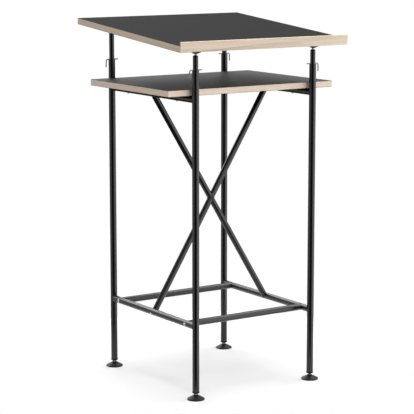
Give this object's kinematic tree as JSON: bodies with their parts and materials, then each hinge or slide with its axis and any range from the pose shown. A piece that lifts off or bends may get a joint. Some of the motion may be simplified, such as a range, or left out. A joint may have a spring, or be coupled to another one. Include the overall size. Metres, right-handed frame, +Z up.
{
  "type": "standing desk",
  "caption": "Tall standing desk: sloping black writing board with a pencil lip, level shelf below it, pinned telescopic posts and a cross-braced black tube frame on swivel feet.",
  "frame": {"origin": "on the floor, below the middle of the desk", "axes": "+Z up, +Y away from the person who writes, +X to their right"},
  "size_m": [0.65, 0.6424, 1.2049],
  "materials": {
    "black_powder_coat": "satin black powder coat on steel tube",
    "black_laminate": "matt black laminate",
    "oak": "pale oak, clear matt lacquer",
    "board_core": "raw wood-based core",
    "zinc_plated_steel": "bright zinc plate",
    "black_nylon": "moulded black nylon"
  },
  "bodies": {
    "base_frame": {"leg_front_left": "black_powder_coat", "leg_front_right": "black_powder_coat", "leg_rear_left": "black_powder_coat", "leg_rear_right": "black_powder_coat", "upper_rail_left": "black_powder_coat", "upper_rail_right": "black_powder_coat", "lower_rail_left": "black_powder_coat", "lower_rail_right": "black_powder_coat", "cross_tube_front": "black_powder_coat", "cross_tube_rear": "black_powder_coat", "brace_whole": "black_powder_coat", "brace_half_upper": "black_powder_coat", "brace_half_lower": "black_powder_coat", "cross_tube_nuts": "zinc_plated_steel", "brace_nuts": "zinc_plated_steel", "cross_tube_bolts": "zinc_plated_steel", "brace_bolts": "zinc_plated_steel", "foot_inserts": "black_nylon", "shelf_spacers": "black_nylon", "shelf_screws": "zinc_plated_steel", "shelf_bottom_sheet": "black_laminate", "shelf_core": "board_core", "shelf_top_sheet": "black_laminate", "shelf_edge_front": "oak", "shelf_edge_rear": "oak", "shelf_edge_left": "oak", "shelf_edge_right": "oak"},
    "front_posts": {"post_front_left": "black_powder_coat", "post_front_right": "black_powder_coat", "front_post_plugs": "black_nylon", "front_pad_studs": "zinc_plated_steel"},
    "desktop": {"desktop_bottom_sheet": "black_laminate", "desktop_core": "board_core", "desktop_top_sheet": "black_laminate", "desktop_edge_rear": "oak", "desktop_edge_left": "oak", "desktop_edge_right": "oak", "pencil_lip": "oak", "desk_pad_front_left": "black_nylon", "desk_pad_front_right": "black_nylon", "desk_pad_screws": "zinc_plated_steel"},
    "rear_posts": {"post_rear_left": "black_powder_coat", "post_rear_right": "black_powder_coat", "rear_post_plugs": "black_nylon", "rear_pad_studs": "zinc_plated_steel"},
    "rear_pads": {"desk_pad_rear_left": "black_nylon", "desk_pad_rear_right": "black_nylon"},
    "pin_front_left": {"pin_front_left": "zinc_plated_steel"},
    "pin_front_right": {"pin_front_right": "zinc_plated_steel"},
    "pin_rear_left": {"pin_rear_left": "zinc_plated_steel"},
    "pin_rear_right": {"pin_rear_right": "zinc_plated_steel"},
    "foot_stud_front_left": {"foot_stud_front_left": "zinc_plated_steel"},
    "foot_pad_front_left": {"foot_pad_front_left": "black_nylon"},
    "foot_stud_front_right": {"foot_stud_front_right": "zinc_plated_steel"},
    "foot_pad_front_right": {"foot_pad_front_right": "black_nylon"},
    "foot_stud_rear_left": {"foot_stud_rear_left": "zinc_plated_steel"},
    "foot_pad_rear_left": {"foot_pad_rear_left": "black_nylon"},
    "foot_stud_rear_right": {"foot_stud_rear_right": "zinc_plated_steel"},
    "foot_pad_rear_right": {"foot_pad_rear_right": "black_nylon"}
  },
  "joints": [
    {"name": "desk_lift", "type": "slide", "parent": "base_frame", "child": "front_posts", "axis": [0, 0, 1], "range_m": [0, 0.092]},
    {"name": "desktop_tilt", "type": "hinge", "parent": "front_posts", "child": "desktop", "pos_m": [0, -0.258, 1.1242], "axis": [1, 0, 0], "range_deg": [0, 5.01]},
    {"name": "rear_posts_lift", "type": "slide", "parent": "front_posts", "child": "rear_posts", "axis": [0, 0, 1], "range_m": [0, 0.0461]},
    {"name": "rear_pads_swivel", "type": "hinge", "parent": "rear_posts", "child": "rear_pads", "pos_m": [0, 0.258, 1.1699], "axis": [1, 0, 0], "range_deg": [0, 5.02]},
    {"name": "pin_front_left_pull", "type": "slide", "parent": "front_posts", "child": "pin_front_left", "axis": [-1, 0, 0], "range_m": [0, 0.04]},
    {"name": "pin_front_right_pull", "type": "slide", "parent": "front_posts", "child": "pin_front_right", "axis": [1, 0, 0], "range_m": [0, 0.04]},
    {"name": "pin_rear_left_pull", "type": "slide", "parent": "rear_posts", "child": "pin_rear_left", "axis": [-1, 0, 0], "range_m": [0, 0.04]},
    {"name": "pin_rear_right_pull", "type": "slide", "parent": "rear_posts", "child": "pin_rear_right", "axis": [1, 0, 0], "range_m": [0, 0.04]},
    {"name": "foot_level_front_left", "type": "slide", "parent": "base_frame", "child": "foot_stud_front_left", "axis": [0, 0, -1], "range_m": [-0.0015, 0.012]},
    {"name": "foot_swivel_front_left", "type": "hinge", "parent": "foot_stud_front_left", "child": "foot_pad_front_left", "pos_m": [-0.23, -0.258, 0.0085], "axis": [1, 0, 0], "range_deg": [-10, 10]},
    {"name": "foot_level_front_right", "type": "slide", "parent": "base_frame", "child": "foot_stud_front_right", "axis": [0, 0, -1], "range_m": [-0.0015, 0.012]},
    {"name": "foot_swivel_front_right", "type": "hinge", "parent": "foot_stud_front_right", "child": "foot_pad_front_right", "pos_m": [0.23, -0.258, 0.0085], "axis": [1, 0, 0], "range_deg": [-10, 10]},
    {"name": "foot_level_rear_left", "type": "slide", "parent": "base_frame", "child": "foot_stud_rear_left", "axis": [0, 0, -1], "range_m": [-0.0015, 0.012]},
    {"name": "foot_swivel_rear_left", "type": "hinge", "parent": "foot_stud_rear_left", "child": "foot_pad_rear_left", "pos_m": [-0.23, 0.258, 0.0085], "axis": [1, 0, 0], "range_deg": [-10, 10]},
    {"name": "foot_level_rear_right", "type": "slide", "parent": "base_frame", "child": "foot_stud_rear_right", "axis": [0, 0, -1], "range_m": [-0.0015, 0.012]},
    {"name": "foot_swivel_rear_right", "type": "hinge", "parent": "foot_stud_rear_right", "child": "foot_pad_rear_right", "pos_m": [0.23, 0.258, 0.0085], "axis": [1, 0, 0], "range_deg": [-10, 10]}
  ],
  "couplings": [
    {"joint": "rear_posts_lift", "follows": "desktop_tilt", "m_per_rad": 0.52554},
    {"joint": "rear_pads_swivel", "follows": "desktop_tilt", "ratio": 1}
  ]
}
